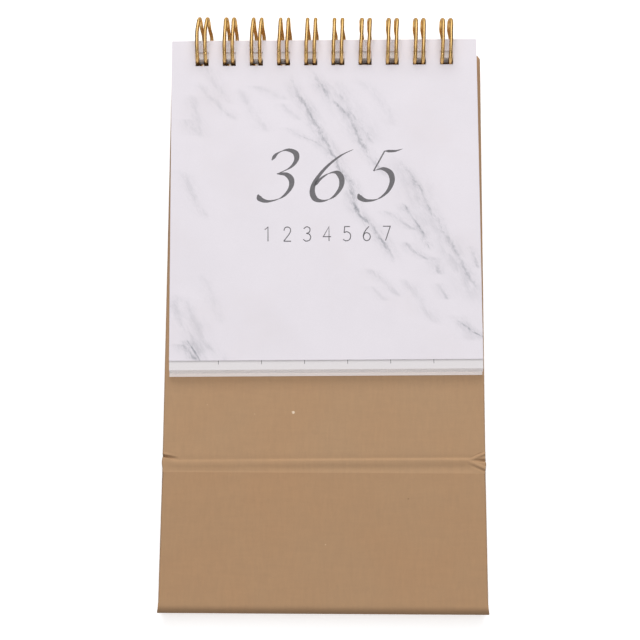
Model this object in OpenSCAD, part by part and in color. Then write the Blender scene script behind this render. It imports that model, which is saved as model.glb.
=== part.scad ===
// Desk calendar on a folding board easel, folded flat and lying on its back.
// Construction frame: x across, y up the sheets, z out of the cover.
// Its origin is the centre line of the wire loops; lay() then sets the whole
// thing down on the floor, on the loops and on the rear crease.

/* [Sheets] */
// width of the cover and month sheets
page_w = 95; // [80:0.1:95.5]
// width of the backing card behind the months
card_w = 95; // [80:0.1:95.5]
// sheets set sideways from their row of holes by this much
sheet_side = -0.05; // [-0.5:0.05:0.5]
// height of the cover sheet
cover_h = 100.5; // [85:0.1:115]
// height of a month sheet
month_h = 101.2; // [85:0.1:115]
// height of the backing card behind the months
card_h = 102.1; // [85:0.1:115]
// thickness of the cover sheet
cover_t = 0.25; // [0.15:0.01:0.4]
// thickness of a month sheet
month_t = 0.15; // [0.1:0.01:0.3]
// thickness of the backing card
card_t = 0.22; // [0.15:0.01:0.6]
// air between neighbouring sheets
sheet_air = 0.04; // [0.02:0.01:0.1]
// loop centre to the back of the sheet stack
stack_z = 1.3; // [0.5:0.05:2.5]
// lean of the stack onto the front panel, in degrees
stack_lean = 1.43; // [0:0.01:1.5]
// turn of the stack in its own plane, in degrees
stack_turn = 0.65; // [0:0.05:0.7]
// paper between the holes and the upper edge of a sheet
sheet_margin = 3.75; // [3:0.05:5]
// cover pushed up on the wire by this much
cover_push = 1.0; // [0:0.01:1]
// month sheets hanging down on the wire by this much
month_hang = 1.0; // [0:0.01:1]

/* [Binding] */
// centre distance of neighbouring loops, three to the inch
pitch = 8.467; // [8.46:0.001:8.47]
// number of double loops
loops = 10; // [10:1:10]
// mean radius of a loop
loop_r = 8; // [7:0.05:8.5]
// wire diameter
wire_d = 1.1; // [0.8:0.05:1.3]
// centre distance of the two strands of one loop
strand_gap = 2.5; // [2.2:0.05:2.8]
// width of a punched hole
hole_w = 4.1; // [4.1:0.05:4.6]
// height of a punched hole
hole_h = 4.4; // [4:0.05:4.8]
// binding off the middle of the stand by this much
wire_x = -0.5; // [-1:0.05:1]
// spine of the wire, in degrees behind straight down
spine_at = 62; // [56:1:66]
// closed tips of the loops, in degrees behind straight down
tip_at = 76; // [72:1:84]

/* [Stand] */
// width of the four panels
stand_w = 97.2; // [96:0.1:110]
// loop centre line to the front and rear creases
crease_y = 131.1; // [115:0.1:145]
// crease to the outermost edge of the folded tail
tail_len = 44.8; // [35:0.1:55]
// thickness of the greyboard
board_t = 1.8; // [1.2:0.1:2.2]
// thickness of the covering and lining paper
paper_t = 0.2; // [0.1:0.01:0.3]
// loop centre to the outer face of the front panel
front_z = -1.4; // [-2:0.05:-1]
// air between the two panels when folded flat
panel_air = 0.3; // [0.1:0.05:1]
// bare crease on each side of a fold line
crease_half = 3.3; // [3.1:0.1:4]
// board to the middle of the tail fold
tail_half = 0.4; // [0.3:0.05:0.8]
// board between the holes and the upper edge of a panel
panel_margin = 2.1; // [1.8:0.1:3.2]
// radius of the panels' upper corners
corner_r = 1.2; // [0.5:0.1:3]
// lining set back from the panel's edges
lining_inset = 1.5; // [0.5:0.1:4]
// spring of the tail toward the cover side, in degrees
tail_lift = 3.6; // [0:0.1:4]

/* [Hidden] */
$fn = 48;

wire_r = wire_d / 2;
loop_out = loop_r + wire_r;
panel_t = board_t + 2 * paper_t;
mid_z = front_z - panel_t - panel_air / 2;      // between the folded panels
back_z = 2 * mid_z - front_z;                   // outer face of the back panel
tail_r = front_z - mid_z;                       // outer radius of the tail fold
tail_y = -(crease_y + tail_len - tail_r);       // tail fold line, tail not lifted

// the floor touches the loops from below and meets the rear crease
rear_d = sqrt(crease_y * crease_y + back_z * back_z);
lay_tilt = asin(loop_out / rear_d) - atan(-back_z / crease_y);
// the tail fold line with the tail lifted
tail_ly = -crease_y + (tail_y + crease_y) * cos(tail_lift) + (mid_z - front_z) * sin(tail_lift);
tail_lz = front_z - (tail_y + crease_y) * sin(tail_lift) + (mid_z - front_z) * cos(tail_lift);
low_y = tail_ly * cos(lay_tilt) - tail_lz * sin(lay_tilt) - tail_r;
lay_y = -(loop_out + low_y) / 2;

// height of the wire's centre where it passes a sheet at depth z
function wire_y(z) = -sqrt(loop_r * loop_r - z * z);
// a point of the lifted tail, measured from the front crease
function lifted(dy, dz) = [-crease_y + dy * cos(tail_lift) + dz * sin(tail_lift),
                           front_z - dy * sin(tail_lift) + dz * cos(tail_lift)];
function loop_x(i) = (i - (loops - 1) / 2) * pitch;

front_hole_y = -7.5;
back_hole_y = -6.3;

// the assembled frame set down on the floor
module lay() translate([0, lay_y, loop_out]) rotate([lay_tilt, 0, 0]) children();
// the tail, turned up a little about the front crease
module tail_lay() lay() translate([0, -crease_y, front_z]) rotate([-tail_lift, 0, 0])
  translate([0, crease_y, -front_z]) children();
// front half of the stand to rear half
module rear() translate([0, 0, 2 * mid_z]) mirror([0, 0, 1]) children();
// a profile in y and z, drawn out across the stand
module across(w) translate([-w / 2, 0, 0]) rotate([90, 0, 90]) linear_extrude(w) children();

// ---- wire -------------------------------------------------------------
module strand(x) translate([x, 0, 0]) rotate([90, 0, 90]) rotate([0, 0, tip_at - 180])
  rotate_extrude(angle = 360 + spine_at - tip_at) translate([loop_r, 0]) circle(wire_r);
module on_loop(x, at) translate([x, -loop_r * cos(at), -loop_r * sin(at)]) children();
module bar(x0, x1, at) on_loop(x0, at) rotate([0, 90, 0]) cylinder(r = wire_r, h = x1 - x0);
module bend(x, at) on_loop(x, at) sphere(wire_r * 1.08);

// one double loop with its half of the spine on either side
module wire_loop(i) color("goldenrod") lay() translate([wire_x, 0, 0]) union() {
  for (s = [-1, 1]) {
    strand(loop_x(i) + s * strand_gap / 2);
    bend(loop_x(i) + s * strand_gap / 2, spine_at);
    bend(loop_x(i) + s * strand_gap / 2, tip_at);
  }
  bar(loop_x(i) - strand_gap / 2, loop_x(i) + strand_gap / 2, tip_at);
  if (i > 0) bar(loop_x(i) - pitch / 2 + 0.005, loop_x(i) - strand_gap / 2, spine_at);
  if (i < loops - 1) bar(loop_x(i) + strand_gap / 2, loop_x(i) + pitch / 2 - 0.005, spine_at);
}
module wire_loop_01() wire_loop(0);
module wire_loop_02() wire_loop(1);
module wire_loop_03() wire_loop(2);
module wire_loop_04() wire_loop(3);
module wire_loop_05() wire_loop(4);
module wire_loop_06() wire_loop(5);
module wire_loop_07() wire_loop(6);
module wire_loop_08() wire_loop(7);
module wire_loop_09() wire_loop(8);
module wire_loop_10() wire_loop(9);

// ---- sheets -----------------------------------------------------------
module sheet_holes(cy) for (i = [0 : loops - 1])
  translate([loop_x(i) - hole_w / 2, cy - hole_h / 2]) square([hole_w, hole_h]);

module sheet(z, t, w, h, push, x) {
  cy = wire_y(z + t / 2) + push;
  top = cy + hole_h / 2 + sheet_margin;
  lay() rotate([stack_lean, 0, 0]) translate([wire_x + x, -7, z]) rotate([0, 0, stack_turn])
    translate([0, 7, 0]) linear_extrude(t) difference() {
      translate([sheet_side - w / 2, top - h]) square([w, h]);
      sheet_holes(cy);
    }
}

module month(k) color("whitesmoke")
  sheet(stack_z + card_t + sheet_air + (12 - k) * (month_t + sheet_air), month_t, page_w, month_h,
        -month_hang - 0.004 * k, 0.02 + 0.02 * ((k * 5) % 4 - 1.5));

module backing_card() color("wheat") sheet(stack_z, card_t, card_w, card_h, -month_hang - 0.05, -0.1);
module month_sheet_12() month(12);
module month_sheet_11() month(11);
module month_sheet_10() month(10);
module month_sheet_09() month(9);
module month_sheet_08() month(8);
module month_sheet_07() month(7);
module month_sheet_06() month(6);
module month_sheet_05() month(5);
module month_sheet_04() month(4);
module month_sheet_03() month(3);
module month_sheet_02() month(2);
module month_sheet_01() month(1);
module cover_sheet() color("lavender")
  sheet(stack_z + card_t + sheet_air + 12 * (month_t + sheet_air), cover_t, page_w, cover_h, cover_push, 0);

// ---- stand panels -----------------------------------------------------
// outline of an upper panel from its crease end y0 to its free edge y1
module outline(w, y0, y1, r) {
  translate([-w / 2, y0]) square([w, y1 - y0 - r]);
  translate([-w / 2 + r, y0]) square([w - 2 * r, y1 - y0]);
  for (s = [-1, 1]) translate([s * (w / 2 - r), y1 - r]) circle(r);
}
module panel_holes(cy) translate([wire_x, 0]) sheet_holes(cy);

module upper_board(y0, cy) translate([0, 0, front_z - paper_t - board_t])
  linear_extrude(board_t) difference() {
    outline(stand_w - 2 * paper_t, y0, cy + hole_h / 2 + panel_margin - paper_t, corner_r - paper_t);
    panel_holes(cy);
  }
module upper_wrap(y0, cy) difference() {
  translate([0, 0, front_z - paper_t - board_t]) linear_extrude(paper_t + board_t) difference() {
    outline(stand_w, y0, cy + hole_h / 2 + panel_margin, corner_r);
    panel_holes(cy);
  }
  translate([0, 0, front_z - paper_t - board_t - 1]) linear_extrude(board_t + 1)
    outline(stand_w - 2 * paper_t, y0 - 1, cy + hole_h / 2 + panel_margin - paper_t, corner_r - paper_t);
}
module upper_liner(y0, cy) translate([0, 0, front_z - panel_t]) linear_extrude(paper_t) difference() {
  translate([-stand_w / 2 + lining_inset, y0])
    square([stand_w - 2 * lining_inset, cy + hole_h / 2 + panel_margin - lining_inset - y0 + 0.6]);
  panel_holes(cy);
}

upper_y0 = -crease_y + crease_half;
module front_board() color("tan") lay() upper_board(upper_y0, front_hole_y);
module front_wrap() color("peru") lay() upper_wrap(upper_y0, front_hole_y);
module front_liner() color("burlywood") lay() upper_liner(upper_y0, front_hole_y);
module back_board() color("tan") lay() rear() upper_board(upper_y0, back_hole_y);
module back_wrap() color("peru") lay() rear() upper_wrap(upper_y0, back_hole_y);
module back_liner() color("burlywood") lay() rear() upper_liner(upper_y0, back_hole_y);

// tail panels: from the tail fold to the crease
foot_y0 = tail_y + tail_half;
foot_len = -crease_y - crease_half - foot_y0;
module foot_board() translate([-stand_w / 2 + paper_t, foot_y0, front_z - paper_t - board_t])
  cube([stand_w - 2 * paper_t, foot_len, board_t]);
module foot_wrap() difference() {
  translate([-stand_w / 2, foot_y0, front_z - paper_t - board_t])
    cube([stand_w, foot_len, board_t + paper_t]);
  translate([-stand_w / 2 + paper_t, foot_y0 - 1, front_z - paper_t - board_t - 1])
    cube([stand_w - 2 * paper_t, foot_len + 2, board_t + 1]);
}
module foot_liner() translate([-stand_w / 2 + lining_inset, foot_y0, front_z - panel_t])
  cube([stand_w - 2 * lining_inset, foot_len, paper_t]);

module foot_front_board() color("tan") tail_lay() foot_board();
module foot_front_wrap() color("peru") tail_lay() foot_wrap();
module foot_front_liner() color("burlywood") tail_lay() foot_liner();
module foot_rear_board() color("tan") tail_lay() rear() foot_board();
module foot_rear_wrap() color("peru") tail_lay() rear() foot_wrap();
module foot_rear_liner() color("burlywood") tail_lay() rear() foot_liner();

// ---- folds of the covering paper ----------------------------------------
fold_slack = 0.02;
module front_crease() color("sienna") lay() across(stand_w) polygon([
  [-crease_y + crease_half - fold_slack, front_z],
  [-crease_y, front_z],
  lifted(-crease_half + fold_slack, 0),
  lifted(-crease_half + fold_slack, -paper_t),
  [-crease_y, front_z - paper_t],
  [-crease_y + crease_half - fold_slack, front_z - paper_t]]);

module tail_fold() color("sienna") tail_lay() across(stand_w) translate([tail_y, mid_z]) {
  difference() {
    circle(tail_r);
    circle(tail_r - paper_t);
    translate([0, -2 * tail_r]) square([2 * tail_r, 4 * tail_r]);
  }
  for (z = [-tail_r, tail_r - paper_t])
    translate([-0.01, z]) square([tail_half - fold_slack + 0.01, paper_t]);
}

// the rear crease, as the lip on the back panel and the lip on the tail
module crease_lip() translate([-stand_w / 2, -crease_y + 0.3, front_z - paper_t])
  cube([stand_w, crease_half - fold_slack - 0.3, paper_t]);
module rear_crease_upper() color("sienna") lay() rear() crease_lip();
module rear_crease_lower() color("sienna") tail_lay() rear()
  translate([0, -2 * crease_y, 0]) mirror([0, 1, 0]) crease_lip();

wire_loop_01();
wire_loop_02();
wire_loop_03();
wire_loop_04();
wire_loop_05();
wire_loop_06();
wire_loop_07();
wire_loop_08();
wire_loop_09();
wire_loop_10();
back_board();
back_wrap();
back_liner();
rear_crease_upper();
front_board();
front_wrap();
front_liner();
front_crease();
foot_front_board();
foot_front_wrap();
foot_front_liner();
tail_fold();
foot_rear_board();
foot_rear_wrap();
foot_rear_liner();
rear_crease_lower();
backing_card();
month_sheet_12();
month_sheet_11();
month_sheet_10();
month_sheet_09();
month_sheet_08();
month_sheet_07();
month_sheet_06();
month_sheet_05();
month_sheet_04();
month_sheet_03();
month_sheet_02();
month_sheet_01();
cover_sheet();
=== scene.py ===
import bpy, bmesh
from math import sin, cos, pi, radians, degrees, sqrt, asin, atan, hypot, floor
from mathutils import Vector, Matrix, noise


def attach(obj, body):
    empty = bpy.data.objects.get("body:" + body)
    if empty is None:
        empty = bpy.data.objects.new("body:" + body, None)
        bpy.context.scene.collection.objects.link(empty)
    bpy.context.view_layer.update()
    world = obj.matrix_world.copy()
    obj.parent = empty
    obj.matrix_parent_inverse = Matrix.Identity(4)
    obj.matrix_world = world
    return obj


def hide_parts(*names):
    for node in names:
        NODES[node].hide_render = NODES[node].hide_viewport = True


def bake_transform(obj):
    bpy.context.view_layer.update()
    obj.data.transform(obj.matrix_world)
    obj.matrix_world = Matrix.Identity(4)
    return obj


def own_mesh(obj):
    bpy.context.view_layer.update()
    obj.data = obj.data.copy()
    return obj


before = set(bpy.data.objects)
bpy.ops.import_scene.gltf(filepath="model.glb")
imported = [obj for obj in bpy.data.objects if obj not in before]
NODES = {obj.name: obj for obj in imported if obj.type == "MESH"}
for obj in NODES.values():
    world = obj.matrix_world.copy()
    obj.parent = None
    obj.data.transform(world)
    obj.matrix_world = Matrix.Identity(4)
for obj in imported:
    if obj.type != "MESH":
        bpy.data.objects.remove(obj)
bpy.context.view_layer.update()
MM = 0.001

# ---------------------------------------------------------------- sizes, in mm
page_w, card_w, sheet_side = 95.0, 95.0, -0.05
cover_h, month_h, card_h = 100.5, 101.2, 102.1
cover_t, month_t, card_t, sheet_air = 0.25, 0.15, 0.22, 0.04
stack_z, stack_lean, stack_turn = 1.3, radians(1.43), radians(0.65)
sheet_margin, cover_push, month_hang = 3.75, 1.0, 1.0
pitch, loops, loop_r, wire_r, strand_gap = 8.467, 10, 8.0, 0.55, 2.5
hole_w, hole_h, wire_x = 4.1, 4.4, -0.5
spine_at, tip_at = 62.0, 76.0
stand_w, crease_y, tail_len = 97.2, 131.1, 44.8
board_t, paper_t, front_z, panel_air = 1.8, 0.2, -1.4, 0.3
crease_half, tail_half, panel_margin, corner_r = 3.3, 0.4, 2.1, 1.2
tail_lift = radians(3.6)
front_hole_y, back_hole_y = -7.5, -6.3

loop_out = loop_r + wire_r
panel_t = board_t + 2 * paper_t
mid_z = front_z - panel_t - panel_air / 2
back_z = 2 * mid_z - front_z
tail_r = front_z - mid_z
tail_y = -(crease_y + tail_len - tail_r)
rear_d = hypot(crease_y, back_z)
tilt = asin(loop_out / rear_d) - atan(-back_z / crease_y)
upper_y0 = -crease_y + crease_half
foot_y0, foot_y1 = tail_y + tail_half, -crease_y - crease_half
half_w = stand_w / 2


def lifted(y, z):
    dy, dz = y + crease_y, z - front_z
    return (-crease_y + dy * cos(tail_lift) + dz * sin(tail_lift),
            front_z - dy * sin(tail_lift) + dz * cos(tail_lift))


_ty, _tz = lifted(tail_y, mid_z)
lay_y = -(loop_out + _ty * cos(tilt) - _tz * sin(tilt) - tail_r) / 2


def lay(x, y, z):
    """Board frame in mm to the row frame in metres."""
    return Vector((x, y * cos(tilt) - z * sin(tilt) + lay_y, y * sin(tilt) + z * cos(tilt) + loop_out)) * MM


def tail(x, y, z):
    """The same for the lifted tail."""
    return lay(x, *lifted(y, z))


def page(x, y, z):
    """A point of the sheet stack: x and y in the sheet's own plane."""
    a, b = x, y + 7
    xr = a * cos(stack_turn) - b * sin(stack_turn) + wire_x
    yr = a * sin(stack_turn) + b * cos(stack_turn) - 7
    return lay(xr, yr * cos(stack_lean) - z * sin(stack_lean), yr * sin(stack_lean) + z * cos(stack_lean))


def wire_y(z):
    return -sqrt(loop_r * loop_r - z * z)


def loop_x(i):
    return (i - (loops - 1) / 2) * pitch


def smooth01(t):
    t = min(1.0, max(0.0, t))
    return t * t * (3 - 2 * t)


def bell(d, w):
    """A bump of half-width w, 1 at d = 0."""
    t = abs(d) / w
    return (1 - t * t) ** 2 if t < 1 else 0.0


# ---------------------------------------------------------------- mesh helpers
def mesh_object(name, verts, faces, material, smooth=True, sharp=40):
    me = bpy.data.meshes.new(name)
    me.from_pydata([tuple(v) for v in verts], [], faces)
    bm = bmesh.new()
    bm.from_mesh(me)
    bmesh.ops.recalc_face_normals(bm, faces=bm.faces)
    bm.to_mesh(me)
    bm.free()
    finish_mesh(me, smooth, sharp)
    ob = bpy.data.objects.new(name, me)
    bpy.context.scene.collection.objects.link(ob)
    if material:
        me.materials.append(material)
    return ob


def finish_mesh(me, smooth=True, sharp=40):
    for p in me.polygons:
        p.use_smooth = smooth
    if smooth:
        me.set_sharp_from_angle(angle=radians(sharp))
    me.update()


def cut(ob, cutters):
    """ob minus each cutter, exactly; the cutters are removed."""
    for c in cutters:
        m = ob.modifiers.new("cut", "BOOLEAN")
        m.operation, m.solver, m.object = "DIFFERENCE", "EXACT", c
    bpy.context.view_layer.update()
    me = bpy.data.meshes.new_from_object(ob.evaluated_get(bpy.context.evaluated_depsgraph_get()))
    ob.modifiers.clear()
    old, ob.data = ob.data, me
    bpy.data.meshes.remove(old)
    for c in cutters:
        d = c.data
        bpy.data.objects.remove(c)
        bpy.data.meshes.remove(d)
    return ob


def prism_faces(n, m, closed=True):
    """Quads between n rings of m points."""
    out = []
    for i in range(n - 1):
        for j in range(m if closed else m - 1):
            k = (j + 1) % m
            out.append((i * m + j, i * m + k, (i + 1) * m + k, (i + 1) * m + j))
    return out


# ---------------------------------------------------------------- materials
class Shader:
    """A small builder for node materials around one Principled shader."""

    def __init__(self, name):
        self.m = bpy.data.materials.new(name)
        self.m.use_nodes = True
        self.t = self.m.node_tree
        self.t.nodes.clear()
        self.b = self.t.nodes.new("ShaderNodeBsdfPrincipled")
        out = self.t.nodes.new("ShaderNodeOutputMaterial")
        self.t.links.new(self.b.outputs[0], out.inputs[0])
        self.co = self.t.nodes.new("ShaderNodeTexCoord").outputs["Object"]

    def put(self, sock, v):
        if isinstance(v, bpy.types.NodeSocket):
            self.t.links.new(v, sock)
        elif v is not None:
            sock.default_value = v

    def set(self, **kw):
        for k, v in kw.items():
            self.put(self.b.inputs[k.replace("_", " ")], v)
        return self

    def math(self, op, a, b=None, c=None, clamp=False):
        n = self.t.nodes.new("ShaderNodeMath")
        n.operation, n.use_clamp = op, clamp
        for i, v in enumerate((a, b, c)):
            if v is not None:
                self.put(n.inputs[i], v)
        return n.outputs[0]

    def vmath(self, op, a, b=None, scale=None):
        n = self.t.nodes.new("ShaderNodeVectorMath")
        n.operation = op
        self.put(n.inputs[0], a)
        if b is not None:
            self.put(n.inputs[1], b)
        if scale is not None:
            n.inputs["Scale"].default_value = scale
        return n.outputs["Value"] if op in ("DOT_PRODUCT", "DISTANCE", "LENGTH") else n.outputs[0]

    def noise(self, scale, detail=3.0, rough=0.5, distort=0.0, vec=None, stretch=None, color=False):
        v = vec if vec is not None else self.co
        if stretch is not None:
            v = self.vmath("MULTIPLY", v, stretch)
        n = self.t.nodes.new("ShaderNodeTexNoise")
        self.put(n.inputs["Vector"], v)
        n.inputs["Scale"].default_value = scale
        n.inputs["Detail"].default_value = detail
        n.inputs["Roughness"].default_value = rough
        n.inputs["Distortion"].default_value = distort
        return n.outputs["Color" if color else "Fac"]

    def range(self, v, a, b, c=0.0, d=1.0, smooth=False):
        n = self.t.nodes.new("ShaderNodeMapRange")
        n.interpolation_type = "SMOOTHSTEP" if smooth else "LINEAR"
        n.clamp = True
        self.put(n.inputs[0], v)
        for i, x in enumerate((a, b, c, d)):
            self.put(n.inputs[1 + i], x)
        return n.outputs[0]

    def mix(self, fac, a, b, mode="MIX"):
        n = self.t.nodes.new("ShaderNodeMix")
        n.data_type, n.blend_type = "RGBA", mode
        self.put(n.inputs[0], fac)
        self.put(n.inputs[6], a if isinstance(a, bpy.types.NodeSocket) else (*a, 1))
        self.put(n.inputs[7], b if isinstance(b, bpy.types.NodeSocket) else (*b, 1))
        return n.outputs[2]

    def bump(self, height, strength, dist, normal=None):
        n = self.t.nodes.new("ShaderNodeBump")
        n.inputs["Strength"].default_value = strength
        n.inputs["Distance"].default_value = dist
        self.put(n.inputs["Height"], height)
        if normal is not None:
            self.put(n.inputs["Normal"], normal)
        return n.outputs[0]


def srgb(r, g, b, k=1.0):
    """A display colour, 0 to 255, as a linear one."""
    return tuple(k * ((c / 255 / 12.92) if c / 255 <= 0.04045 else ((c / 255 + 0.055) / 1.055) ** 2.4) for c in (r, g, b))


def kraft_material(name, base, specks=()):
    """Laid covering paper: fine fibres, soft mottling, a few specks."""
    s = Shader(name)
    fine = s.noise(2600, 4, 0.6)
    fibre = s.noise(900, 3, 0.55, 0.6, stretch=(1.0, 0.22, 1.0))
    cross = s.noise(700, 3, 0.55, 0.6, stretch=(0.2, 1.0, 1.0))
    cloud = s.noise(45, 3, 0.5)
    wide = s.noise(14, 2, 0.5)
    f = s.math("ADD", s.math("MULTIPLY", fibre, 0.45), s.math("MULTIPLY", cross, 0.30))
    f = s.math("ADD", f, s.math("MULTIPLY", fine, 0.25))
    dark = tuple(c * 0.905 for c in base)
    light = tuple(min(1, c * 1.095) for c in base)
    col = s.mix(s.range(f, 0.36, 0.64), dark, light)
    warm = (base[0] * 1.015, base[1] * 0.985, base[2] * 0.955)
    cool = (base[0] * 0.985, base[1] * 1.012, base[2] * 1.03)
    col = s.mix(0.5, col, s.mix(s.range(cloud, 0.35, 0.65), warm, cool))
    col = s.mix(s.range(wide, 0.3, 0.7, 0.0, 0.12), col, tuple(c * 0.90 for c in base))
    # scattered pale and dark flecks in the paper
    vor = s.t.nodes.new("ShaderNodeTexVoronoi")
    s.put(vor.inputs["Vector"], s.co)
    vor.inputs["Scale"].default_value = 150
    pick = s.t.nodes.new("ShaderNodeSeparateColor")
    s.put(pick.inputs[0], vor.outputs["Color"])
    near = s.range(vor.outputs["Distance"], 0.02, 0.045, 1.0, 0.0, True)
    pale = s.math("MULTIPLY", near, s.math("GREATER_THAN", pick.outputs[0], 0.975))
    deep = s.math("MULTIPLY", near, s.math("GREATER_THAN", pick.outputs[1], 0.97))
    col = s.mix(s.math("MULTIPLY", pale, 0.30), col, tuple(min(1, c * 1.6) for c in base))
    col = s.mix(s.math("MULTIPLY", deep, 0.35), col, tuple(c * 0.55 for c in base))
    for (x, y, z), size, tone, amount in specks:
        d = s.vmath("DISTANCE", s.co, (x, y, z))
        d = s.math("ADD", d, s.math("MULTIPLY", s.math("SUBTRACT", s.noise(3500, 2), 0.5), size * 1.1))
        col = s.mix(s.range(d, size * 0.55, size, amount, 0.0, True), col, tone)
    bump = s.math("ADD", s.math("MULTIPLY", f, 0.7), s.math("MULTIPLY", fine, 0.3))
    s.set(Base_Color=col, Roughness=s.range(f, 0.3, 0.7, 0.62, 0.78), Normal=s.bump(bump, 0.10, 0.00006))
    s.b.inputs["Specular IOR Level"].default_value = 0.28
    return s.m


def paper_material(name, base, edge, painted_edge_glow, rough=0.6, contrast=0.02, fibre=0.05):
    s = Shader(name)
    fine = s.noise(2200, 4, 0.6)
    cloud = s.noise(60, 3, 0.5)
    col = s.mix(s.range(fine, 0.35, 0.65), tuple(c * (1 - contrast) for c in base), tuple(min(1, c * (1 + contrast)) for c in base))
    col = s.mix(s.range(cloud, 0.35, 0.65, 0.0, 0.5), col, tuple(c * (1 - contrast) for c in base))
    # the cut edges are painted lighter than the faces and glow, most toward the lower end of the sheets: painted light
    # on the sheet edges
    geo = s.t.nodes.new("ShaderNodeTexCoord")
    face = s.math("ABSOLUTE", s.vmath("DOT_PRODUCT", geo.outputs["Normal"], tuple(page(0, 0, 1000) - page(0, 0, 0))))
    spot = s.t.nodes.new("ShaderNodeSeparateXYZ")
    s.put(spot.inputs[0], s.co)
    # but painted dark brown deep in the punched holes, more on the sheets further back, and without the glow there:
    # painted shade in the holes
    cy = month_place(6)[0]
    deep, near = page(0, cy, month_z(7)), page(0, cy, month_z(1))
    hole_painted_shade = s.math("MULTIPLY", s.range(s.math("ABSOLUTE", spot.outputs[0]), 0.0425, 0.0435, 1.0, 0.0),
                  s.range(s.math("ABSOLUTE", s.math("SUBTRACT", spot.outputs[1], deep[1])), 0.0034, 0.0039, 1.0, 0.0))
    hole_painted_shade = s.math("MULTIPLY", hole_painted_shade, s.range(spot.outputs[2], deep[2], near[2], 1.0, 0.3))
    col = s.mix(s.range(face, 0.3, 0.7, 1.0, 0.0), col, s.mix(hole_painted_shade, edge, srgb(92, 55, 26)))
    # pinkish colour of the glow on the cut edges: painted light
    s.b.inputs["Emission Color"].default_value = (1.0, 0.93, 0.90, 1)
    glow = s.math("MULTIPLY", s.range(spot.outputs[1], 0.0, 0.06, painted_edge_glow, 0.10), s.range(hole_painted_shade, 0.0, 1.0, 1.0, 0.0))
    s.set(Emission_Strength=s.range(face, 0.3, 0.7, glow, 0.0))
    s.set(Base_Color=col, Roughness=s.range(fine, 0.3, 0.7, rough - 0.06, rough + 0.06), Normal=s.bump(fine, fibre, 0.00004))
    s.b.inputs["Specular IOR Level"].default_value = 0.3
    return s.m


def board_material(name, base):
    """Greyboard: pressed waste paper with dark and pale fibres in layers."""
    s = Shader(name)
    grit = s.noise(1400, 5, 0.65)
    layer = s.noise(900, 3, 0.5, stretch=(0.25, 0.25, 2.2))
    col = s.mix(s.range(grit, 0.3, 0.7), tuple(c * 0.72 for c in base), tuple(min(1, c * 1.25) for c in base))
    col = s.mix(s.range(layer, 0.35, 0.7, 0.0, 0.55), col, (base[0] * 0.82, base[1] * 0.79, base[2] * 0.74))
    s.set(Base_Color=col, Roughness=s.range(grit, 0.3, 0.7, 0.8, 0.95), Normal=s.bump(grit, 0.3, 0.0001))
    return s.m


def gold_material(name):
    """Lacquered wire: warm metal with fine drawing lines and small wear marks."""
    s = Shader(name)
    big = s.noise(260, 3, 0.5)
    fine = s.noise(2400, 4, 0.6)
    wear = s.range(s.noise(900, 5, 0.7), 0.62, 0.80, 0.0, 0.08)
    col = s.mix(s.range(big, 0.3, 0.7), (0.85, 0.545, 0.205), (0.93, 0.615, 0.25))
    col = s.mix(wear, col, (0.50, 0.28, 0.08))
    s.set(Base_Color=col, Roughness=s.range(fine, 0.3, 0.7, 0.24, 0.30), Normal=s.bump(fine, 0.02, 0.00005))
    s.b.inputs["Metallic"].default_value = 1.0
    s.b.inputs["Specular Tint"].default_value = (0.50, 0.34, 0.17, 1)
    s.b.inputs["Coat Weight"].default_value = 0.15
    s.b.inputs["Coat Roughness"].default_value = 0.12
    return s.m


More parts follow.
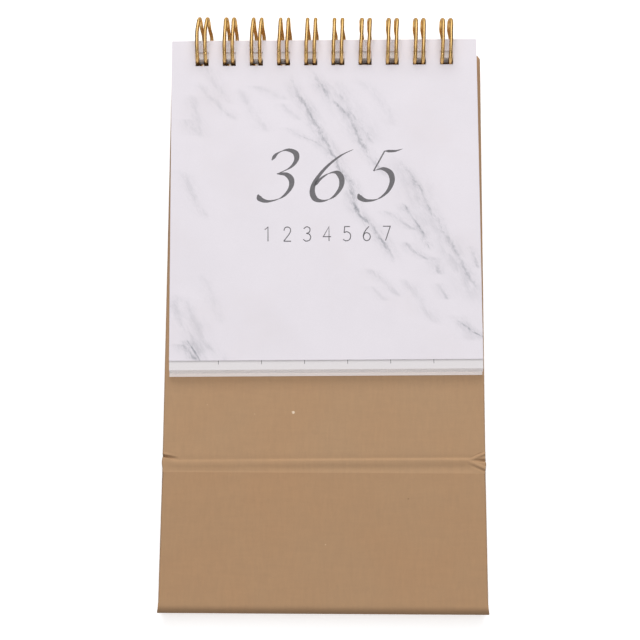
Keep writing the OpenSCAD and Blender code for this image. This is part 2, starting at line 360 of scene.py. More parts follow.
# marble veins on the cover: points (u, v) in mm from the middle and lower edge
# of the sheet, half width in mm, depth of tone, and how far it wanders
VEINS = [
    ([(-10.3, 88.2), (-8.8, 82.8), (-5.4, 78.1), (-2.7, 72.4), (0.1, 67.1), (3.1, 62.3), (5.2, 57.6), (8.0, 53.6), (8.6, 50.5), (9.4, 46.1), (11.3, 43.6), (14.3, 40.5), (17.3, 36.5), (20.0, 31.8), (21.2, 28.7)], 0.75, 0.42, 1.5),
    ([(-3.8, 89.2), (-1.4, 85.3), (1.7, 80.6), (4.8, 78.1), (7.5, 74.3), (9.4, 70.8), (11.5, 66.1), (14.5, 61.7), (17.3, 57.9), (19.1, 56.0)], 0.70, 0.30, 1.4),
    ([(-10.1, 70.6), (-7.3, 69.0), (-3.0, 67.1), (0.0, 64.9)], 0.5, 0.22, 0.9),
    ([(3.3, 83.8), (7.9, 76.5), (12.5, 70.8), (14.3, 67.0)], 0.6, 0.20, 1.2),
    ([(0.5, 86.5), (5.6, 79.5), (10.2, 72.5), (13.0, 66.5)], 3.2, 0.13, 2.0),
    ([(19.2, 62.3), (24.7, 56.6), (27.7, 52.9), (29.8, 47.2), (32.2, 42.6), (37.3, 34.8), (41.1, 27.1), (44.1, 20.9), (47.1, 15.7)], 2.4, 0.17, 2.0),
    ([(21.0, 63.0), (27.0, 55.5), (31.5, 47.5), (35.4, 40.2), (39.5, 33.0), (43.0, 26.0), (46.0, 20.0)], 0.7, 0.21, 1.9),
    ([(24.2, 47.0), (27.6, 42.0), (30.8, 36.1), (31.6, 34.0)], 0.5, 0.40, 1.0),
    ([(20.2, 44.2), (22.9, 42.3), (25.7, 40.4)], 0.9, 0.22, 1.0),
    ([(25.4, 34.6), (27.0, 32.8), (29.2, 31.4)], 0.8, 0.26, 1.0),
    ([(33.0, 30.0), (33.8, 28.2), (34.4, 26.8)], 0.8, 0.24, 0.8),
    ([(34.9, 21.9), (35.7, 20.3), (36.3, 19.2)], 0.7, 0.20, 0.8),
    ([(24.2, 23.5), (27.8, 19.5), (30.2, 14.8), (33.8, 11.2)], 0.9, 0.17, 1.4),
    ([(14.2, 26.6), (18.7, 22.6), (21.4, 19.8)], 0.7, 0.18, 1.2),
    ([(15.0, 21.1), (17.1, 18.9)], 0.6, 0.14, 0.9),
    ([(44.6, 33.2), (46.4, 28.6)], 0.6, 0.24, 0.9),
    ([(41.6, 10.6), (44.5, 8.3), (47.2, 6.9)], 0.5, 0.42, 0.7),
    ([(40.3, 12.3), (42.6, 9.0), (44.3, 6.4)], 1.7, 0.13, 1.2),
    ([(-46.9, 19.9), (-43.8, 11.7), (-40.8, 7.7), (-37.7, 1.0)], 0.9, 0.18, 1.2),
    ([(-44.5, 19.3), (-39.9, 11.6), (-37.7, 6.1), (-36.4, 2.6)], 1.3, 0.17, 1.4),
    ([(-41.4, 5.2), (-39.9, 2.9), (-38.3, 0.4)], 0.35, 0.50, 0.4),
    ([(-42.8, 3.9), (-41.4, 2.5), (-40.4, 1.4)], 0.95, 0.40, 0.8),
    ([(-35.3, 4.0), (-32.3, 1.6), (-30.8, 0.0)], 0.6, 0.16, 0.9),
    ([(-37.8, 25.4), (-34.6, 18.4), (-31.7, 11.6)], 0.8, 0.10, 1.4),
    ([(-44.3, 57.9), (-41.5, 53.2), (-39.7, 48.5), (-36.9, 43.8)], 0.8, 0.16, 1.4),
    ([(-41.0, 81.4), (-39.4, 74.1), (-37.9, 69.4)], 0.9, 0.14, 1.4),
    ([(-42.0, 73.4), (-41.3, 71.9), (-40.4, 70.4)], 0.9, 0.18, 0.9),
    ([(-38.5, 85.2), (-35.1, 81.3), (-30.8, 76.9), (-28.6, 75.0)], 0.7, 0.17, 1.3),
    ([(-37.0, 90.8), (-33.3, 85.1), (-30.2, 79.8)], 0.8, 0.15, 1.3),
    ([(-26.2, 83.2), (-22.5, 77.2), (-18.5, 70.9)], 0.8, 0.13, 1.4),
    ([(-19.3, 83.8), (-14.7, 81.6)], 1.4, 0.14, 1.2),
    ([(-12.2, 78.1), (-9.2, 75.0)], 0.7, 0.17, 1.0),
    ([(11.1, 86.6), (16.3, 81.2), (20.9, 72.3)], 1.1, 0.11, 1.6),
]


rise = cover_h / 99.4                               # height scale of the cover's print


def marble_material(name, base):
    s = Shader(name)
    o = page(sheet_side, COVER_BOT, COVER_Z + cover_t)
    eu = (page(sheet_side + 1, COVER_BOT, COVER_Z + cover_t) - o).normalized()
    ev = (page(sheet_side, COVER_BOT + 1, COVER_Z + cover_t) - o).normalized()
    en = eu.cross(ev)
    p = s.vmath("SUBTRACT", s.co, tuple(o))
    u = s.math("MULTIPLY", s.vmath("DOT_PRODUCT", p, tuple(eu)), 1000.0)
    v = s.math("MULTIPLY", s.vmath("DOT_PRODUCT", p, tuple(ev)), 1000.0 / rise)
    flat = s.t.nodes.new("ShaderNodeCombineXYZ")
    s.put(flat.inputs[0], u)
    s.put(flat.inputs[1], v)
    flat = flat.outputs[0]
    along = s.math("ADD", s.math("MULTIPLY", u, 0.465), s.math("MULTIPLY", v, -0.885))
    across = s.math("ADD", s.math("MULTIPLY", u, 0.885), s.math("MULTIPLY", v, 0.465))
    grainy = s.t.nodes.new("ShaderNodeCombineXYZ")
    s.put(grainy.inputs[0], s.math("MULTIPLY", along, 0.38))
    s.put(grainy.inputs[1], across)
    grainy = grainy.outputs[0]
    w1 = s.math("SUBTRACT", s.noise(0.20, 6, 0.66, vec=flat), 0.5)
    w2 = s.math("SUBTRACT", s.noise(0.75, 6, 0.70, vec=flat), 0.5)
    wander = s.math("ADD", s.math("MULTIPLY", w1, 2.4), s.math("MULTIPLY", w2, 1.7))
    patch = s.range(s.noise(0.42, 5, 0.68, vec=grainy), 0.40, 0.59, 0.04, 1.30)
    streak = s.range(s.noise(0.55, 6, 0.66, vec=grainy), 0.42, 0.62, 0.0, 1.0)
    crack = s.math("ABSOLUTE", s.math("SUBTRACT", s.noise(0.50, 6, 0.62, 0.4, vec=grainy), 0.5))
    crack = s.range(crack, 0.0, 0.035, 1.0, 0.0, True)
    haze = None
    total = None
    for pts, width, depth, wob in VEINS:
        pts = sorted(pts, key=lambda q: q[1])
        if depth < 0.2:                                # the faint ones are soft smudges
            width, depth = width * 1.7, depth * 0.72
        v0, v1 = pts[0][1] - 1.5, pts[-1][1] + 1.5
        us = [q[0] for q in pts]
        u0, u1 = min(us) - 3, max(us) + 3
        t = s.math("MULTIPLY", s.math("SUBTRACT", v, v0), 1 / (v1 - v0))
        fc = s.t.nodes.new("ShaderNodeFloatCurve")
        s.put(fc.inputs["Value"], t)
        cv = fc.mapping.curves[0]
        q = [((b - v0) / (v1 - v0), (a - u0) / (u1 - u0)) for a, b in pts]
        first = (0.0, q[0][1] + (q[0][1] - q[1][1]) / (q[1][0] - q[0][0]) * q[0][0])
        last = (1.0, q[-1][1] + (q[-1][1] - q[-2][1]) / (q[-1][0] - q[-2][0]) * (1 - q[-1][0]))
        cv.points[0].location, cv.points[1].location = first, last
        for a in q:
            cv.points.new(*a)
        fc.mapping.update()
        uc = s.math("MULTIPLY_ADD", fc.outputs[0], u1 - u0, u0)
        du = s.math("SUBTRACT", u, uc)
        d = s.math("ABSOLUTE", s.math("MULTIPLY_ADD", wander, wob, du))
        line = s.range(d, 0.0, width * 1.35, 1.0, 0.0, True)
        halo = s.range(s.math("ABSOLUTE", du), 0.0, width * 1.6 + 3.2, 1.0, 0.0, True)
        ends = s.math("MULTIPLY", s.range(t, 0.0, 0.16, 0.0, 1.0, True), s.range(t, 0.84, 1.0, 1.0, 0.0, True))
        strength = s.math("MULTIPLY", ends, depth)
        amount = s.math("MULTIPLY", line, strength)
        total = amount if total is None else s.math("ADD", total, amount)
        soft = s.math("MULTIPLY", halo, strength)
        haze = soft if haze is None else s.math("MAXIMUM", haze, soft)
    total = s.math("MULTIPLY", total, patch)
    texture = s.math("ADD", s.math("MULTIPLY", streak, 0.42), s.math("MULTIPLY", crack, 0.40))
    total = s.math("ADD", total, s.math("MULTIPLY", haze, s.math("ADD", texture, 0.15)))
    cloud = s.range(s.noise(0.06, 4, 0.55, vec=flat), 0.38, 0.66, 0.0, 0.035)
    total = s.math("ADD", total, cloud, clamp=True)
    # the print is on the outer face only
    geo = s.t.nodes.new("ShaderNodeTexCoord")
    side = s.range(s.vmath("DOT_PRODUCT", geo.outputs["Normal"], tuple(en)), 0.3, 0.7)
    total = s.math("MULTIPLY", total, side)
    grain = s.noise(2500, 3, 0.6)
    col = s.mix(s.range(grain, 0.3, 0.7), tuple(c * 0.988 for c in base), tuple(min(1, c * 1.012) for c in base))
    warm = s.range(s.noise(0.045, 3, 0.5, vec=flat), 0.5, 0.68, 0.0, 0.5)
    col = s.mix(s.math("MULTIPLY", warm, side), col, (base[0] * 0.965, base[1] * 0.952, base[2] * 0.94))
    col = s.mix(total, col, (base[0] * 0.30, base[1] * 0.33, base[2] * 0.35))
    s.set(Base_Color=col, Roughness=s.range(grain, 0.3, 0.7, 0.40, 0.50), Normal=s.bump(grain, 0.03, 0.00003))
    s.b.inputs["Specular IOR Level"].default_value = 0.3
    return s.m


def ink_material(name, base):
    s = Shader(name)
    fine = s.noise(1800, 4, 0.6)
    col = s.mix(s.range(fine, 0.35, 0.65), tuple(c * 0.9 for c in base), tuple(c * 1.12 for c in base))
    s.set(Base_Color=col, Roughness=s.range(fine, 0.3, 0.7, 0.5, 0.62))
    s.b.inputs["Specular IOR Level"].default_value = 0.25
    return s.m


# places of the sheets in the stack
def sheet_place(z, t, h, push):
    cy = wire_y(z + t / 2) + push
    top = cy + hole_h / 2 + sheet_margin
    return cy, top, top - h


COVER_Z = stack_z + card_t + sheet_air + 12 * (month_t + sheet_air)
COVER_CY, COVER_TOP, COVER_BOT = sheet_place(COVER_Z, cover_t, cover_h, cover_push)


def month_z(k):
    return stack_z + card_t + sheet_air + (12 - k) * (month_t + sheet_air)


def month_x(k):
    return 0.02 + 0.02 * ((k * 5) % 4 - 1.5)


def month_place(k):
    return sheet_place(month_z(k), month_t, month_h, -month_hang - 0.004 * k)


TAN = srgb(178, 143.5, 109.5, 0.995)
# a darker, more saturated copy of the same kraft colour: painted shade for the foot and tail fold
TAN_FOOT_PAINTED_SHADE = (TAN[0] * 0.926, TAN[1] * 0.905, TAN[2] * 0.882)
SPECKS = [
    (tuple(lay(-9.3, -116.2, front_z)), 0.00055, srgb(235, 215, 190), 0.9),
    (tuple(lay(-35.4, -114.0, front_z)), 0.00022, srgb(200, 172, 140), 0.6),
    (tuple(lay(-21.0, -116.8, front_z)), 0.00022, srgb(200, 172, 140), 0.6),
]
M_KRAFT = kraft_material("kraft_front", TAN, SPECKS)
M_KRAFT_FOOT_PAINTED_SHADE = kraft_material("kraft_foot_painted_shade", TAN_FOOT_PAINTED_SHADE, [
    (tuple(tail(0.6, -155.8, front_z)), 0.00025, srgb(205, 180, 150), 0.7),
    (tuple(tail(25.3, -142.1, front_z)), 0.00030, srgb(120, 92, 68), 0.5)])
M_KRAFT_BACK = kraft_material("kraft_back", TAN)
M_LINER = kraft_material("lining", tuple(c * 1.1 for c in TAN))
# greyboard brown darkened well below its own tone: partly its own colour, partly painted shade for the board seen deep
# in the holes
M_BOARD = board_material("greyboard", (0.19, 0.135, 0.09))
M_WIRE = gold_material("gold_wire")
M_COVER = marble_material("marble_cover", srgb(233, 228, 234))
# the second colour of each sheet is a lighter edge colour and 0.55 its edge glow: painted light on the cut edges
M_MONTH = paper_material("month_paper", srgb(229, 225, 226), srgb(251, 248, 247), 0.55)
M_CARD = paper_material("backing_card", srgb(240, 232, 228), srgb(252, 248, 243), 0.55, 0.65, 0.02)
M_INK = ink_material("print_grey", srgb(112, 110, 113))
M_INK_THIN = ink_material("print_dark", srgb(104, 102, 106))

for n, ob in NODES.items():
    ob.data.materials.clear()
    if n.endswith("_board"):
        m = M_BOARD
    elif n.endswith("_liner"):
        m = M_LINER
    elif n.startswith("month_sheet"):
        m = M_MONTH
    elif n == "backing_card":
        m = M_CARD
    elif n == "cover_sheet":
        m = M_COVER
    elif n.startswith("wire"):
        m = M_WIRE
    elif n.startswith("foot") or n in ("tail_fold", "rear_crease_lower"):
        m = M_KRAFT_FOOT_PAINTED_SHADE
    elif n.startswith("back") or n == "rear_crease_upper":
        m = M_KRAFT_BACK
    else:
        m = M_KRAFT
    ob.data.materials.append(m)


# ---------------------------------------------------------------- wire binding
# one continuous wire: up each left strand, round the tip, down the right strand
# and along the spine to the next loop
LOOP_SKEW = [0.10, -0.20, -0.05, -0.10, -0.05, 0.08, 0.0, 0.05, 0.12, 0.25]
LOOP_LEAN = [-0.12, 0.02, 0.0, 0.12, 0.10, 0.06, 0.16, 0.02, 0.06, 0.0]
LOOP_TOP = [-0.05, -0.18, 0.02, 0.02, 0.02, 0.0, 0.18, 0.14, 0.06, 0.06]
LOOP_GAP = [0.0, -0.05, 0.02, -0.04, 0.01, 0.0, -0.03, 0.02, -0.06, 0.0]


def skew(th, i):
    """Sideways lean of a loop: th is the angle from the top toward the front, in degrees."""
    pts = [(250, -0.05), (200, -0.14), (171, -0.16), (112, -0.16), (92, -0.08), (45, 0.14), (28, 0.20), (4, 0.10), (-9, 0.06),
           (-14, 0.11), (-30, 0.155), (-58, 0.62), (-85, 0.78), (-110, 0.78)]
    for (a, b), (c, d) in zip(pts, pts[1:]):
        if a >= th >= c:
            base = b + (d - b) * smooth01((a - th) / (a - c))
            break
    else:
        base = pts[0][1] if th > 250 else pts[-1][1]
    return base + LOOP_SKEW[i] * smooth01((-30 - th) / 30) + LOOP_LEAN[i] * bell(th - 80, 31) + LOOP_TOP[i] * bell(th - 35, 43)


def loop_point(i, x, th):
    """A point of loop i; x is measured from the loop's middle before the lean."""
    a = radians(th)
    y, z = loop_r * cos(a), loop_r * sin(a)
    z *= 1 - 0.05 * bell(th - 75, 36)
    y *= 1 - 0.039 * smooth01(th / 22) * smooth01((95 - th) / 40)
    return (wire_x + loop_x(i) + x + skew(th, i), y, z)


def wire_path():
    path = []
    tip, spine = -180.0 + tip_at, 180.0 + spine_at
    for i in range(loops):
        g = (strand_gap + LOOP_GAP[i]) / 2
        rt = g                                    # round tip
        dt = degrees(rt / loop_r)
        bend = 0.9                                # corner at the spine
        db = degrees(bend / loop_r)
        ths = []
        th = spine - db
        while th > tip + dt:
            ths.append(th)
            th -= 5.0
        ths.append(tip + dt)
        if i == 0:
            path.append(loop_point(i, -g, spine - 0.5))
        else:
            for k in range(1, 6):
                a = pi / 2 * k / 6
                path.append(loop_point(i, -g - bend + bend * sin(a), spine - db * (1 - cos(a))))
        path += [loop_point(i, -g, t) for t in ths]
        for k in range(1, 10):
            a = pi * k / 10
            path.append(loop_point(i, -rt * cos(a), tip + dt - dt * sin(a)))
        path += [loop_point(i, g, t) for t in reversed(ths)]
        if i == loops - 1:
            path.append(loop_point(i, g, spine - 0.5))
        else:
            for k in range(1, 6):
                a = pi / 2 * k / 6
                path.append(loop_point(i, g + bend * (1 - cos(a)), spine - db + db * sin(a)))
    return path


def sweep(name, path, r, material, sides=14):
    """A round wire along the path, with softly rounded cut ends."""
    p = [lay(*q) for q in path]
    n = len(p)
    tan = [(p[min(i + 1, n - 1)] - p[max(i - 1, 0)]).normalized() for i in range(n)]
    nrm = Vector((0, 0, 1))
    if abs(tan[0].dot(nrm)) > 0.9:
        nrm = Vector((0, 1, 0))
    nrm = (nrm - tan[0] * nrm.dot(tan[0])).normalized()
    rings = []
    R = r * MM
    for i in range(n):
        nrm = (nrm - tan[i] * nrm.dot(tan[i])).normalized()
        b = tan[i].cross(nrm)
        rings.append((p[i], nrm.copy(), b, tan[i]))
    verts, m = [], 0

    def ring(c, a, b, rad):
        for j in range(sides):
            w = 2 * pi * j / sides
            verts.append(c + a * (rad * cos(w)) + b * (rad * sin(w)))
    c, a, b, t = rings[0]
    for sh, rad in ((0.12, 0.72), (0.06, 0.93)):
        ring(c - t * (R * sh), a, b, R * rad)
    for c, a, b, t in rings:
        ring(c, a, b, R)
    for sh, rad in ((0.06, 0.93), (0.12, 0.72)):
        ring(c + t * (R * sh), a, b, R * rad)
    m = len(verts) // sides
    faces = prism_faces(m, sides)
    faces.append(tuple(range(sides)))
    faces.append(tuple((m - 1) * sides + j for j in range(sides)))
    return mesh_object(name, verts, faces, material, True, 50)


wire = sweep("wire_binding", wire_path(), wire_r + 0.02, M_WIRE)
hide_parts(*[n for n in NODES if n.startswith("wire_loop")])
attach(wire, "back_panel")


# ---------------------------------------------------------------- covering paper
edge_r = 0.55


def upper_wrap(name, node, body, cy, place, material):
    """The paper round an upper panel: rounded over three edges, open to the board inside."""
    y0, y1 = upper_y0, cy + hole_h / 2 + panel_margin
    depth = board_t + paper_t
    out = [(-half_w, y0)]
    for k in range(9):
        a = pi - pi / 2 * k / 8
        out.append((-half_w + corner_r + corner_r * cos(a), y1 - corner_r + corner_r * sin(a)))
    for k in range(9):
        a = pi / 2 - pi / 2 * k / 8
        out.append((half_w - corner_r + corner_r * cos(a), y1 - corner_r + corner_r * sin(a)))
    out.append((half_w, y0))
    m = len(out)

    def inset(d):
        q = []
        for i, (x, y) in enumerate(out):
            if i in (0, m - 1):
                q.append((x - d if x > 0 else x + d, y))
                continue
            cx = -half_w + corner_r if x < 0 else half_w - corner_r
            cyy = y1 - corner_r
            dx, dy = x - cx, y - cyy
            s = (corner_r - d) / corner_r
            q.append((cx + dx * s, cyy + dy * s))
        return q
    rings = [(0.0, -depth), (0.0, -edge_r)]
    for k in range(1, 7):
        a = pi / 2 * k / 6
        rings.append((edge_r * (1 - cos(a)), -edge_r + edge_r * sin(a)))
    rings.append((edge_r + 0.5, 0.0))
    verts = []
    for d, h in rings:
        verts += [place(x, y, h) for x, y in inset(min(d, corner_r - 0.05))]
    faces = prism_faces(len(rings), m)
    faces.append(tuple(range(m)))
    faces.append(tuple((len(rings) - 1) * m + j for j in range(m)))
    ob = mesh_object(name, verts, faces, material, False)

    def block(pts, h0, h1):
        k = len(pts)
        vv = [place(x, y, h0) for x, y in pts] + [place(x, y, h1) for x, y in pts]
        ff = prism_faces(2, k) + [tuple(range(k)), tuple(range(k, 2 * k))]
        return mesh_object("cutter", vv, ff, None, False)
    pocket = inset(paper_t)
    pocket[0], pocket[-1] = (pocket[0][0], y0 - 1), (pocket[-1][0], y0 - 1)
    cutters = [block(pocket, -depth - 1, -paper_t)]
    for i in range(loops):
        x = wire_x + loop_x(i)
        # a plain square-cornered hole for each loop
        pts = [(x - hole_w / 2, cy - hole_h / 2), (x + hole_w / 2, cy - hole_h / 2),
               (x + hole_w / 2, cy + hole_h / 2), (x - hole_w / 2, cy + hole_h / 2)]
        cutters.append(block(pts, -depth - 2, 1))
    cut(ob, cutters)
    finish_mesh(ob.data, True, 32)
    if not ob.data.materials:
        ob.data.materials.append(material)
    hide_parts(node)
    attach(ob, body)
    return ob


upper_wrap("front_covering", "front_wrap", "front_panel", front_hole_y, lambda x, y, h: lay(x, y, front_z + h), M_KRAFT)
upper_wrap("back_covering", "back_wrap", "back_panel", back_hole_y, lambda x, y, h: lay(x, y, back_z - h), M_KRAFT_BACK)


def foot_wrap(name, node, body, place, material, dip=None):
    """The paper over one half of the foot, rounded over both long edges."""
    depth = board_t + paper_t
    prof = [(-half_w, -depth), (-half_w, -edge_r)]
    for k in range(1, 7):
        a = pi / 2 * k / 6
        prof.append((-half_w + edge_r * (1 - cos(a)), -edge_r + edge_r * sin(a)))
    prof.append((-half_w + edge_r + 0.5, 0.0))
    prof += [(-x, h) for x, h in reversed(prof)]
    inner = half_w - paper_t
    prof += [(inner, -depth), (inner, -edge_r - 0.1)]
    for k in range(1, 5):
        a = pi / 2 * k / 4
        ri = edge_r - paper_t + 0.1
        prof.append((inner - ri * (1 - cos(a)) * 0.3, -edge_r - 0.1 + (edge_r + 0.1 - paper_t) * sin(a)))
    prof += [(-x, h) for x, h in reversed(prof[-6:])]
    m = len(prof)
    n = 48
    verts = []
    outer = 2 * (len(prof) // 2 - 6)
    for i in range(n + 1):
        y = foot_y0 + (foot_y1 - foot_y0) * (1 - (1 - i / n) ** 1.6)
        for j, (x, h) in enumerate(prof):
            sink = dip(y + crease_y) * smooth01((h + 1.0) / 0.45) if dip and j < outer else 0.0
            verts.append(place(x, y, h + sink))
    faces = prism_faces(n + 1, m)
    faces.append(tuple(range(m)))
    faces.append(tuple(n * m + j for j in range(m)))
    ob = mesh_object(name, verts, faces, material, True, 32)
    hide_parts(node)
    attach(ob, body)
    return ob


# ---------------------------------------------------------------- front crease
PROFILE = [(3.3, 0.0), (2.7, 0.0), (2.1, -0.02), (1.6, -0.065), (1.25, -0.10), (1.0, -0.105), (0.8, -0.05), (0.55, 0.09),
           (0.4, 0.15), (0.2, 0.17), (-0.1, 0.165), (-0.5, 0.12), (-0.9, 0.03), (-1.4, -0.11), (-1.8, -0.20), (-2.2, -0.24), (-2.6, -0.24), (-3.0, -0.205), (-3.3, -0.165)]


def foot_dip(v):
    """How far the paper on the foot sinks in beside the crease."""
    return -0.16 * (1 - smooth01((-v - crease_half) / 9.0))


def crease_profile(v):
    if v <= -crease_half:
        return foot_dip(v)
    for (a, b), (c, d) in zip(PROFILE, PROFILE[1:]):
        if a >= v >= c:
            t = (a - v) / (a - c)
            return b + (d - b) * t
    return 0.0


def crease_height(x, v):
    """Height of the creased paper: a raised score beside a soft groove, pinched at both ends."""
    w = v - 0.0123 * x * (1 - (v / crease_half) ** 2)
    h = sum(crease_profile(w + o) for o in (-0.12, -0.06, 0, 0.06, 0.12)) / 5
    h *= 1 + (0.40 * smooth01((x + 34) / 40) - 0.30) * smooth01((crease_half - abs(v)) / 1.2)
    fade = smooth01((crease_half - abs(v)) / 0.5)
    e = 0.018 * noise.noise(Vector((x * 0.09, v * 0.5, 3.1)))
    el, er = x + half_w, half_w - x
    if el < 6:                                   # left end: one tucked-under step
        k = smooth01(el / 5.5)
        c = 1.55 - 0.20 * el
        e -= (h - foot_dip(-crease_half) * smooth01((0.5 - v) / 2.5)) * 0.6 * (1 - k)
        e -= 0.80 * (1 - k) * bell(v - c, 0.50 + 0.05 * el)
        e += 0.16 * (1 - k) * bell(v - c - 0.75, 0.6)
        e += 0.06 * (1 - k) * bell(v - c + 0.9, 0.9)
    if er < 7:                                   # right end: the score parts into a wedge
        k = smooth01((er - 0.5) / 5.5)
        s = max(0.0, (5.4 - er) / 5.4)
        up, dn = 0.35 + 2.5 * s, 0.35 - 2.2 * s
        mid = 0.75 - 0.25 * s
        e -= (h - foot_dip(-crease_half) * smooth01((0.5 - v) / 2.5)) * (1 - k)
        e += (1 - k) * (0.26 * bell(v - up, 0.75) + 0.32 * bell(v - dn, 0.8))
        e -= 0.75 * s * bell(v - mid, 0.7)
        e -= 0.16 * (1 - k) * bell(v - dn + 0.85, 0.55)
        e -= 0.14 * (1 - k) * bell(v - up - 0.65, 0.5)
    return h + e * fade


def crease_bulge(v):
    return 0.20 * bell(v + 0.4, 1.9)


xs = [0.0]
while xs[-1] < stand_w - 1e-6:
    x = xs[-1]
    xs.append(min(stand_w, x + (0.2 if x < 8 or x > stand_w - 8.2 else 0.7)))
vs = [crease_half - 2 * crease_half * j / 54 for j in range(55)]
nx, nv = len(xs), len(vs)


def crease_pos(x, v, h):
    """A point over the crease line: v from the line, up the panel, and height h over the paper's face."""
    xx = x * (1 + crease_bulge(v) / half_w * smooth01((abs(x) - 42) / 7))
    drop = edge_r * 0.55 * (1 - sqrt(max(0.0, 1 - max(0.0, (abs(x) - (half_w - 0.4)) / 0.4) ** 2)))
    if v >= 0:
        return lay(xx, -crease_y + v, front_z + h - drop)
    return tail(xx, -crease_y + v, front_z + h - drop)


verts = []
for side in (0, 1):
    for v in vs:
        for x in xs:
            xc = x - half_w
            verts.append(crease_pos(xc, v, crease_height(xc, v) - side * paper_t))
faces = []
for j in range(nv - 1):
    for i in range(nx - 1):
        a, b, c, d = j * nx + i, j * nx + i + 1, (j + 1) * nx + i + 1, (j + 1) * nx + i
        faces.append((a, b, c, d))
        o = nx * nv
        faces.append((o + a, o + d, o + c, o + b))
o = nx * nv
for i in range(nx - 1):
    faces.append((i, o + i, o + i + 1, i + 1))
    e = (nv - 1) * nx
    faces.append((e + i, e + i + 1, o + e + i + 1, o + e + i))
for j in range(nv - 1):
    a, b = j * nx, (j + 1) * nx
    faces.append((a, b, o + b, o + a))
    a, b = a + nx - 1, b + nx - 1
    faces.append((a, o + a, o + b, b))
crease = mesh_object("front_crease_paper", verts, faces, M_KRAFT, True, 50)
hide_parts("front_crease")
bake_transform(crease)

foot_wrap("foot_front_covering", "foot_front_wrap", "foot_front", lambda x, y, h: tail(x, y, front_z + h), M_KRAFT_FOOT_PAINTED_SHADE, foot_dip)
foot_wrap("foot_rear_covering", "foot_rear_wrap", "foot_rear", lambda x, y, h: tail(x, y, back_z - h), M_KRAFT_FOOT_PAINTED_SHADE)

# ---------------------------------------------------------------- tail fold
prof = [(tail_half - 0.005, 0.0)]
for k in range(0, 25):
    prof.append((None, pi * k / 24))
prof.append((tail_half - 0.005, pi))


def tail_point(x, k, inner):
    y, a = prof[k]
    r = tail_r - (paper_t if inner else 0)
    if y is None:
        return tail(x, tail_y - r * sin(a), mid_z + r * cos(a))
    return tail(x, tail_y + y, mid_z + r * cos(a))


def tail_flare(k):
    y, a = prof[k]
    return 0.0 if y is not None else 0.42 * sin(a) ** 1.5


xs2 = sorted(set([-half_w + 0.15 * i for i in range(0, 40)] + [half_w - 0.15 * i for i in range(0, 40)] + [-43 + 86 * i / 60 for i in range(61)]))
n2, m2 = len(xs2), len(prof)
verts = []
for inner in (False, True):
    for k in range(m2):
        fl = tail_flare(k)
        for x in xs2:
            e = smooth01((abs(x) - (half_w - 6)) / 6)
            verts.append(tail_point(x * (1 + fl * e / half_w), k, inner))
faces = []
o = n2 * m2
for k in range(m2 - 1):
    for i in range(n2 - 1):
        a, b, c, d = k * n2 + i, k * n2 + i + 1, (k + 1) * n2 + i + 1, (k + 1) * n2 + i
        faces.append((a, b, c, d))
        faces.append((o + a, o + d, o + c, o + b))
for i in range(n2 - 1):
    faces.append((i, o + i, o + i + 1, i + 1))
    e = (m2 - 1) * n2
    faces.append((e + i, e + i + 1, o + e + i + 1, o + e + i))
for k in range(m2 - 1):
    a, b = k * n2, (k + 1) * n2
    faces.append((a, b, o + b, o + a))
    a, b = a + n2 - 1, b + n2 - 1
    faces.append((a, o + a, o + b, b))
tail_paper = mesh_object("tail_fold_paper", verts, faces, M_KRAFT_FOOT_PAINTED_SHADE, True, 50)
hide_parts("tail_fold")
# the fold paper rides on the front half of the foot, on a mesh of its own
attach(tail_paper, "foot_front")
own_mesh(tail_paper)

# ---------------------------------------------------------------- printing
def spline(pts, closed=False, step=6):
    """A smooth line through the points."""
    n = len(pts)
    out = []
    for i in range(n if closed else n - 1):
        p0 = pts[(i - 1) % n] if closed or i > 0 else pts[0]
        p1, p2 = pts[i], pts[(i + 1) % n]
        p3 = pts[(i + 2) % n] if closed or i + 2 < n else pts[-1]
        for k in range(step):
            t = k / step
            out.append(tuple(0.5 * (2 * b + (c - a) * t + (2 * a - 5 * b + 4 * c - d) * t * t + (3 * b - a - 3 * c + d) * t ** 3)
                             for a, b, c, d in zip(p0, p1, p2, p3)))
    if not closed:
        out.append(tuple(pts[-1]))
    return out


